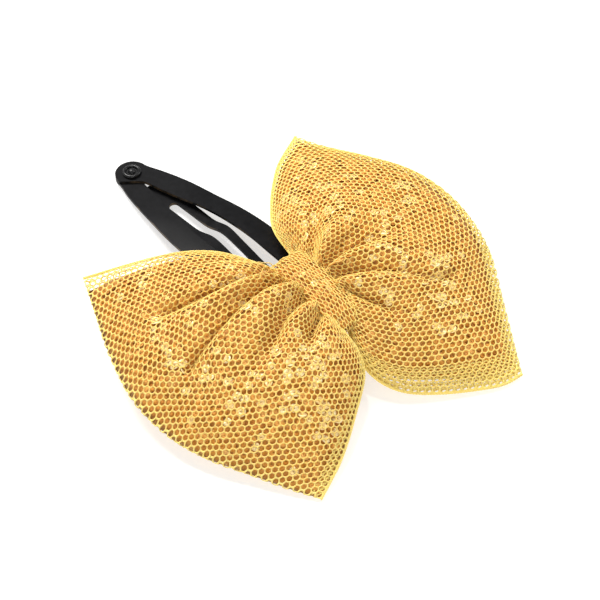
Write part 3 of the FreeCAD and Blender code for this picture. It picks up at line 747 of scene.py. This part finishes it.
def hex_net(cells, thread, sample, stretch=(1.0, 1.0), rounded=False):
    """Threads round the cells; sample(u, v) gives points and normals for flat coordinates.

    Each thread has a crest above, a keel below and a line at the rim of each hole.
    """
    reach_u, reach_v = PITCH * stretch[0] / 2, PITCH * stretch[1] / math.sqrt(3)
    corners = [(reach_u, reach_v * 0.5), (0, reach_v), (-reach_u, reach_v * 0.5),
               (-reach_u, -reach_v * 0.5), (0, -reach_v), (reach_u, -reach_v * 0.5)]
    hole_u, hole_v = 1 - thread / (PITCH * stretch[0]), 1 - thread / (PITCH * stretch[1])
    soft = 0.93 if rounded else 1.0     # draws in the corners of a rounded hole
    flat, index_of = [], {}

    def shared(u, v):
        """Index of the thread point here, shared by neighbouring cells."""
        key = (round(u * 200), round(v * 200))
        if key not in index_of:
            for du in (-1, 0, 1):
                for dv in (-1, 0, 1):
                    if (key[0] + du, key[1] + dv) in index_of:
                        return index_of[(key[0] + du, key[1] + dv)]
            index_of[key] = len(flat)
            flat.append((u, v))
        return index_of[key]

    rings, holes = [], []
    for u, v in cells:
        ring = []
        for k in range(6):
            a, b = corners[k], corners[(k + 1) % 6]
            ring.append(shared(u + a[0], v + a[1]))
            holes.append((u + a[0] * hole_u * soft, v + a[1] * hole_v * soft))
            if rounded:
                half_u, half_v = (a[0] + b[0]) / 2, (a[1] + b[1]) / 2
                ring.append(shared(u + half_u, v + half_v))
                holes.append((u + half_u * hole_u, v + half_v * hole_v))
        rings.append(ring)
    flat, holes = np.array(flat), np.array(holes)

    # open border: the edges that only one cell uses, pushed out by half a thread
    uses = {}
    for cell, ring in zip(cells, rings):
        for edge in zip(ring, ring[1:] + ring[:1]):
            uses.setdefault(tuple(sorted(edge)), []).append((cell, edge))
    border = [use[0] for use in uses.values() if len(use) == 1]
    push = {}
    for cell, edge in border:
        for v in edge:
            away = flat[v] - cell
            push[v] = push.get(v, 0) + away / np.linalg.norm(away)
    outside = flat[list(push)] + unit(np.array(list(push.values()))) * thread * 0.5

    points, normals = sample(flat[:, 0], flat[:, 1])
    half = THREAD_HEIGHT / 2
    points = np.vstack([points + normals * half, points - normals * half,
                        sample(holes[:, 0], holes[:, 1])[0],
                        sample(outside[:, 0], outside[:, 1])[0]])
    keel, hole = len(flat), 2 * len(flat)
    outside_of = {v: hole + len(holes) + k for k, v in enumerate(push)}
    faces = []
    for ring in rings:
        count = len(ring)
        for k in range(count):
            following = (k + 1) % count
            a, b = ring[k], ring[following]
            faces.append((a, b, hole + following, hole + k))
            faces.append((keel + b, keel + a, hole + k, hole + following))
        hole += count
    for _, (a, b) in border:
        faces.append((b, a, outside_of[a], outside_of[b]))
        faces.append((keel + a, keel + b, outside_of[b], outside_of[a]))
    return points, faces


# ---------------------------------------------------------------- netting of a loop
def strip_sampler(grid, normals, ripple, lift):
    """Sampler of a loop's net strip, with slow waves that make the cells uneven."""
    base = grid_sampler(grid, normals, 2 * CLOTH_REACH, CLOTH_LENGTH, lift)

    def sample(u, v):
        inside = (np.sin(math.pi * np.clip(v / CLOTH_LENGTH, 0, 1))
                  * np.sin(math.pi * np.clip(u / (2 * CLOTH_REACH), 0, 1)))
        wave_u = 0.45 * np.sin(v * 0.17 + ripple[0]) + 0.25 * np.sin(u * 0.31 + v * 0.12 + ripple[1])
        wave_v = 0.5 * np.sin(u * 0.16 + ripple[2]) + 0.25 * np.sin(v * 0.23 - u * 0.1 + ripple[3])
        return base(u + inside * wave_u, v + inside * wave_v)
    return sample


def add_loop_net(word, upper, lower, upper_normals, lower_normals):
    """One strip of net from the wrap over the top, round the outer fold and back underneath."""
    strip_upper, strip_upper_normals = even_columns(upper, upper_normals)
    strip_lower, strip_lower_normals = even_columns(lower, lower_normals)
    grid = np.concatenate([strip_upper, strip_lower[::-1][1:]], 0)
    normals = np.concatenate([strip_upper_normals, strip_lower_normals[::-1][1:]], 0)
    normals[STEPS_OUT] = upper_normals[STEPS_OUT - 1] + lower_normals[STEPS_OUT - 1]
    normals = unit(normals)
    border = np.vstack([upper[-1], upper[:, 0], upper[:, -1]])
    ripple = rng.uniform(0, 6.28, 4)

    sample = strip_sampler(grid, normals, ripple, lift=0.0)
    cells = hex_cells(2 * CLOTH_REACH, CLOTH_LENGTH, margin=0.1)
    split = CLOTH_REACH + 2.0           # the upper net ends just past the outer fold
    for layer, part, replaces in (
            ("upper", [cell for cell in cells if cell[0] <= split], "net_loop_" + word),
            ("lower", [cell for cell in cells if cell[0] > split], None)):
        points, faces = hex_net(part, THREAD_WIDTH, sample, rounded=layer == "upper")
        distance = np.full(len(points), 9.0)
        for point in border[::2]:
            distance = np.minimum(distance, np.linalg.norm(points - point, axis=1))
        # rim: 1 at the border, fading over 3.4 mm; it sets where the net gets its painted glow and
        # painted highlight
        rim = 1 - smooth01(distance / 3.4)
        ob = mesh_object("net_%s_%s" % (layer, word), points, faces, NET, {"rim": rim})
        on_loop(ob, replaces)

    # second layer of the same net, inside the outer fold and both long edges
    front_hem, back_hem, fold_hem = LOOPS[word]["hem"]

    def in_hem(u, v):
        at_edge = v < front_hem or CLOTH_LENGTH - v < back_hem
        return abs(u - CLOTH_REACH) < fold_hem or (at_edge and 4 < u < 2 * CLOTH_REACH - 8)

    cells = hex_cells(2 * CLOTH_REACH, CLOTH_LENGTH, margin=0.2, shift=(0.5, 0.34), keep=in_hem)
    points, faces = hex_net(cells, THREAD_WIDTH * 1.35,
                            strip_sampler(grid, normals, ripple, lift=-0.26))
    # a rim of 1 gives the hem layer the net's full painted glow and painted highlight
    ob = mesh_object("net_hem_%s" % word, points, faces, NET, {"rim": np.ones(len(points))})
    on_loop(ob)


def add_edge_threads(word, upper):
    """Three threads twisted round each of the two long edges."""
    parts = []
    for column in (0, STEPS_ALONG):
        line = resample(upper[:, column], 260)
        sideways = unit(np.cross(unit(np.gradient(line, axis=0)), [0, 0, 1.0]))
        for lane in range(3):
            twist = (np.arange(len(line)) * 0.62 + lane * 2.1)[:, None]
            path = (line + sideways * (0.17 * np.sin(twist))
                    + np.array([0, 0, 1.0]) * (0.15 * np.cos(twist)))
            parts.append(tube(path, radius=0.11, sides=5, reference=[0.02, 0.05, 1.0]))
    points, faces = join(parts)
    # a rim of 1 gives these threads the net's full painted glow and painted highlight
    ob = mesh_object("net_edge_%s" % word, points, faces, NET, {"rim": np.ones(len(points))})
    on_loop(ob)


# ---------------------------------------------------------------- cloth and sequins of a loop
def add_loop_cloth(word, upper, lower, upper_normals, lower_normals):
    """Sequin cloth just inside the net; returns its upper and lower grids."""
    spec = LOOPS[word]
    reach, front_inset, back_inset = spec["inset"]
    shape = upper.shape
    s = np.linspace(0, 1, shape[0])[:, None]
    t = np.linspace(0, 1, shape[1])[None, :] * np.ones((shape[0], 1))
    u = np.linspace(0, reach, shape[0])[:, None] * np.ones((1, shape[1]))
    # the gaps to the net's long edges waver
    front_gap = front_inset * (1 + 0.25 * np.sin(4 * s))
    back_gap = back_inset * (1 + 0.2 * np.sin(5 * s + 1))
    v = front_gap + t * (1 - front_gap - back_gap)
    at_u, at_v = (u * STEPS_OUT).ravel(), (v * STEPS_ALONG).ravel()
    upper, lower, upper_normals, lower_normals = (
        read_grid(grid, at_u, at_v).reshape(shape)
        for grid in (upper, lower, upper_normals, lower_normals))
    # both sheets close to their middle over about 3 mm at the border
    from_edge = np.minimum(np.minimum(t, 1 - t) * 60, (1 - s) * 32)
    free = smooth01(from_edge / 3.0)[..., None]
    middle = (upper + lower) / 2
    depth = np.minimum(0.55, np.linalg.norm(upper - lower, axis=2, keepdims=True) * 0.32)
    cloth_upper = middle * (1 - free) + (upper - upper_normals * depth) * free
    cloth_lower = middle * (1 - free) + (lower - lower_normals * depth) * free
    cloth_upper[..., 2] = np.maximum(cloth_upper[..., 2], cloth_lower[..., 2])

    index_upper, index_lower, faces = sewn_faces(spec["side"])
    # close the mouth at the waist
    up, low = index_upper[0].tolist(), index_lower[0].tolist()
    for j in range(STEPS_ALONG):
        mouth = [up[j], up[j + 1], low[j + 1], low[j]][::spec["side"]]
        faces.append(list(dict.fromkeys(mouth)))  # the end faces are triangles
    ob = mesh_object("cloth_" + word, sewn_points(cloth_upper, cloth_lower), faces, CLOTH)
    on_loop(ob, "sequin_cloth_" + word)
    return cloth_upper, cloth_lower


def sequin(centre, normal, radius):
    """A cupped ring with a small hole, turned at random about its normal."""
    across = unit(np.cross(normal, rng.normal(size=3)))
    other = np.cross(normal, across)
    points, faces = [], []
    for a, (share, height) in enumerate(SEQUIN_RINGS):
        r = radius * share
        b = (a + 1) % len(SEQUIN_RINGS)
        for k in range(SEQUIN_SIDES):
            angle = 2 * math.pi * k / SEQUIN_SIDES
            points.append(centre + across * (r * math.cos(angle))
                          + other * (r * math.sin(angle)) + normal * height)
            following = (k + 1) % SEQUIN_SIDES
            faces.append((a * SEQUIN_SIDES + k, a * SEQUIN_SIDES + following,
                          b * SEQUIN_SIDES + following, b * SEQUIN_SIDES + k))
    return points, faces


def sequin_object(name, parts, tones_and_glints):
    points, faces = join(parts)
    tone_and_glint = np.repeat(tones_and_glints, len(SEQUIN_RINGS) * SEQUIN_SIDES)
    ob = mesh_object(name, points, faces, SEQUIN, {"tone_and_glint": tone_and_glint})
    return ob


def crowded(point, placed, spacing):
    return bool(placed) and min(np.sum((np.array(placed) - point) ** 2, axis=1)) < spacing ** 2


def scatter_sequins(word, grid, normals, count, lift):
    """Sequins at random on one sheet: dull ones, with clusters of ones painted bright cream as
    glints.
    """
    placed, directions = [], []
    tries = 0
    while len(placed) < count and tries < count * 30:
        tries += 1
        u = np.array([rng.uniform(2.5, STEPS_OUT - 1.6)])
        v = np.array([rng.uniform(2.0, STEPS_ALONG - 2.0)])
        point = read_grid(grid, u, v)[0]
        if crowded(point, placed, spacing=1.2):
            continue
        placed.append(point)
        directions.append(unit(read_grid(normals, u, v)[0]))
    parts, tones_and_glints = [], []
    for point, normal in zip(placed, directions):
        tilt = unit(normal + rng.normal(size=3) * 0.14)
        nearness = min(np.hypot(point[0] - x, point[1] - y) / r for x, y, r in PAINTED_GLINT_SPOTS[word])
        tone_and_glint = 0.42 * rng.uniform() ** 1.2
        # a painted glint (bright cream) is likelier towards a cluster's centre; elsewhere 3 in 100
        # get one
        if (nearness < 1 and rng.uniform() < 0.55 * (1.25 - nearness)) or rng.uniform() < 0.03:
            tone_and_glint = rng.uniform(0.78, 1.0)
            tilt = unit(normal + np.array([0.0, 0.25, 0.1]) + rng.normal(size=3) * 0.16)
        parts.append(sequin(point + normal * lift, tilt, rng.uniform(0.72, 0.98)))
        tones_and_glints.append(tone_and_glint)
    return parts, tones_and_glints


def add_loop(word, spec):
    side = spec["side"]
    upper, lower = loop_grids(spec)
    upper, lower = simulate(side, upper, lower)
    sheets = (upper, lower, grid_normals(upper, side), grid_normals(lower, -side))
    add_loop_net(word, *sheets)
    add_edge_threads(word, upper)
    upper, lower = add_loop_cloth(word, *sheets)
    parts, tones_and_glints = scatter_sequins(word, upper, grid_normals(upper, side), count=620, lift=0.16)
    more_parts, more_tones_and_glints = scatter_sequins(word, lower, grid_normals(lower, -side),
                                             count=200, lift=0.10)
    ob = sequin_object("sequins_on_" + word, parts + more_parts, tones_and_glints + more_tones_and_glints)
    on_loop(ob, "sequins_" + word)


for loop_word, loop_spec in LOOPS.items():
    add_loop(loop_word, loop_spec)


# ---------------------------------------------------------------- centre wrap
def wrap_grid(shrink, half):
    """Rows across the band by columns round it; the seam lies underneath."""
    angles = np.linspace(-0.5 * math.pi, 1.5 * math.pi, 151)
    across = np.linspace(-1, 1, 31)
    grid = np.zeros((len(across), len(angles), 3))
    for j, a in enumerate(angles):
        up = max(math.sin(a), 0)
        # wider at the front, back and top
        wide = half * (1 + 0.10 * abs(math.cos(a)) ** 2 + 0.05 * up)
        lean = 0.30 * math.cos(a) * up
        for i, q in enumerate(across):
            roll = 1 - (0.50 * up + 0.10) * abs(q) ** 2.3   # the sides roll under
            pleat = up * (0.20 * math.cos(q * 7.0 + 1.0 * math.sin(1.5 * a))
                          + 0.09 * math.cos(q * 15.0 + 2.5 * a + 0.8))
            radius_z = (WRAP_RADIUS_Z - shrink) * roll + pleat * (1 - 0.5 * abs(q))
            radius_y = ((WRAP_RADIUS_Y - shrink) * (1 - 0.05 * abs(q) ** 2)
                        + 0.12 * math.cos(q * 11))
            grid[i, j] = KNOT + np.array([q * wide + lean, radius_y * math.cos(a),
                                          radius_z * math.sin(a)])
    return grid


def outward_normals(grid):
    normals = grid_normals(grid, 1.0)
    i, j = grid.shape[0] // 2, grid.shape[1] // 2
    return normals if np.dot(normals[i, j], grid[i, j] - KNOT) > 0 else -normals


def add_wrap_net():
    """Net round the band, its cells drawn long and narrow and slightly waved."""
    grid = even_rows(wrap_grid(0.0, WRAP_HALF), 1.0)
    width = 2 * WRAP_HALF * 1.12
    length = path_lengths(grid[grid.shape[0] // 2])[-1]
    stretch = (0.57, 1.14)
    base = grid_sampler(grid, outward_normals(grid), width, length)

    def sample(u, v):
        inside = np.sin(math.pi * np.clip(u / width, 0, 1))
        return base(u + 0.28 * inside * np.sin(v * 0.55),
                    v + 0.45 * inside * np.sin(u * 1.1 + 0.25 * v))

    cells = hex_cells(width, length, margin=0.02, stretch=stretch)
    points, faces = hex_net(cells, 0.21, sample, stretch)
    ob = mesh_object("net_wrap_outer", points, faces, NET, {"rim": np.full(len(points), 0.1)})
    on_knot(ob, "wrap_net")


def add_wrap_sequins(grid):
    normals = outward_normals(grid)
    placed, parts, tones_and_glints = [], [], []
    tries = 0
    while len(placed) < 64 and tries < 4000:
        tries += 1
        # columns 30 to 121 keep to the upper part of the band
        i, j = rng.integers(3, grid.shape[0] - 3), rng.integers(30, 122)
        point = grid[i, j]
        if crowded(point, placed, spacing=1.15):
            continue
        placed.append(point)
        normal = unit(normals[i, j] + rng.normal(size=3) * 0.08)
        # half of those near the middle get a painted glint (bright cream)
        middle = abs(point[0] - 1.0) < 1.4 and abs(point[1] + 1.5) < 4.5
        painted_glint = middle and rng.uniform() < 0.5
        tones_and_glints.append(rng.uniform(0.7, 0.95) if painted_glint else 0.45 * rng.uniform())
        parts.append(sequin(point + normal * 0.12, normal, rng.uniform(0.6, 0.8)))
    on_knot(sequin_object("sequins_on_wrap", parts, tones_and_glints), "sequins_wrap")


add_wrap_net()
wrap_cloth = wrap_grid(0.62, WRAP_HALF - 0.3)
on_knot(closed_band("cloth_wrap", wrap_cloth, wrap_grid(1.0, WRAP_HALF - 0.35), CLOTH),
        "wrap_sequin_cloth")
add_wrap_sequins(wrap_cloth)


# ---------------------------------------------------------------- gathered waist inside the wrap
def waist_grid(shrink, depth, folds):
    angles = np.linspace(-0.5 * math.pi, 1.5 * math.pi, 301)
    across = np.linspace(-WAIST_HALF, WAIST_HALF, 13)
    grid = np.zeros((len(across), len(angles), 3))
    for i, x in enumerate(across):
        for j, a in enumerate(angles):
            pleat = 1 - depth * (0.5 + 0.5 * math.cos(folds * a + 0.5 * math.sin(x)))
            y = (WAIST_RADIUS_Y - shrink) * pleat * math.cos(a)
            z = (WAIST_RADIUS_Z - 0.6 * shrink) * (1 + (pleat - 1) * 1.6) * math.sin(a)
            grid[i, j] = WAIST_CENTRE + np.array([x, y, z])
    return grid


waist_net = closed_band("waist_gathers_net", waist_grid(0.0, depth=0.09, folds=34),
                        waist_grid(0.35, depth=0.09, folds=34), NET)
waist_net.data.attributes.new("rim", "FLOAT", "POINT")
on_knot(waist_net, "waist_net")
waist_cloth = closed_band("waist_gathers_cloth", waist_grid(0.45, depth=0.10, folds=26),
                          waist_grid(0.8, depth=0.10, folds=26), CLOTH)
on_knot(waist_cloth, "waist_sequin_cloth")


# ---------------------------------------------------------------- thread ends
def thread_tail(points, radius):
    """A strand that narrows to 0.6 of its radius at its two end rings."""
    radii = np.full(26, radius)
    radii[[0, -1]] *= 0.6
    return tube(resample(points, 26), radii, sides=7, reference=[0.1, 0.2, 1.0])


tail_points, tail_faces = join([thread_tail(*tail) for tail in THREAD_TAILS])
on_knot(mesh_object("thread_tails", tail_points, tail_faces, THREAD), "thread_ends")

# ---------------------------------------------------------------- finishes of the CAD pieces
for node_name, finish in (("clip_frame", CLIP), ("clip_tongue", CLIP), ("nose_rivet", RIVET),
                          ("glue_pad", GLUE), ("gathering_thread", THREAD),
                          ("wrap_stitches", THREAD)):
    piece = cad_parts[node_name]
    if not piece.data.materials:
        piece.data.materials.append(finish)
    for slot in piece.material_slots:
        slot.material = finish


# ---------------------------------------------------------------- studio, in metres
def add_floor():
    half = 1.5
    z = TABLE * MM - 0.00005
    mesh = bpy.data.meshes.new("floor")
    mesh.from_pydata([(-half, -half, z), (half, -half, z), (half, half, z), (-half, half, z)],
                     [], [(0, 1, 2, 3)])
    floor = bpy.data.objects.new("floor", mesh)
    mesh.materials.append(floor_material())
    bpy.context.scene.collection.objects.link(floor)


def add_light(name, location, size, energy, colour=(1, 1, 1)):
    """A round area light aimed at the origin."""
    light = bpy.data.lights.new(name, "AREA")
    light.shape = "DISK"
    light.size = size
    light.energy = energy
    light.color = colour
    ob = bpy.data.objects.new(name, light)
    ob.location = location
    ob.rotation_euler = (-Vector(location)).to_track_quat("-Z", "Y").to_euler()
    bpy.context.scene.collection.objects.link(ob)


def add_world():
    """A white backdrop that looks pale to the camera but lights the bow softly."""
    world = bpy.data.worlds.new("studio")
    bpy.context.scene.world = world
    world.use_nodes = True
    tree = world.node_tree
    background = tree.nodes["Background"]
    background.inputs[0].default_value = (1.0, 1.0, 1.0, 1)
    path = tree.nodes.new("ShaderNodeLightPath")
    strength = tree.nodes.new("ShaderNodeMapRange")
    strength.inputs["To Min"].default_value = 0.34
    strength.inputs["To Max"].default_value = 0.93
    tree.links.new(path.outputs["Is Camera Ray"], strength.inputs["Value"])
    tree.links.new(strength.outputs["Result"], background.inputs[1])


def add_camera():
    """A long lens from the front left, looking down."""
    azimuth, elevation = math.radians(-42), math.radians(48.5)
    distance, sensor = 4.0, 36.0        # metres, millimetres
    view_width = 100.502513             # millimetres seen across the picture at the origin
    aim_right, aim_up = -1.943049, 0.938023  # picture's centre from the origin, in millimetres
    sin_a, cos_a = math.sin(azimuth), math.cos(azimuth)
    sin_e, cos_e = math.sin(elevation), math.cos(elevation)
    right = np.array([cos_a, sin_a, 0])
    up = np.array([-sin_a * sin_e, cos_a * sin_e, cos_e])
    back = np.array([sin_a * cos_e, -cos_a * cos_e, sin_e])
    data = bpy.data.cameras.new("camera")
    data.lens = sensor * distance / (view_width * MM)
    data.sensor_width = sensor
    data.clip_start = 0.01
    camera = bpy.data.objects.new("camera", data)
    camera.location = Vector((right * aim_right + up * aim_up) * MM + back * distance)
    camera.rotation_euler = Vector(-back).to_track_quat("-Z", "Y").to_euler()
    bpy.context.scene.collection.objects.link(camera)
    bpy.context.scene.camera = camera


add_floor()
add_light("key", location=(0.02, 0.28, 0.34), size=0.20, energy=2.1, colour=(1.0, 0.985, 0.96))
add_light("fill", location=(0.34, -0.12, 0.26), size=0.26, energy=0.58)
add_light("front", location=(-0.26, -0.26, 0.22), size=0.26, energy=0.55)
add_light("spark", location=(0.05, 0.10, 0.45), size=0.03, energy=0.5)
add_world()
add_camera()
bpy.context.scene.view_settings.view_transform = "Standard"
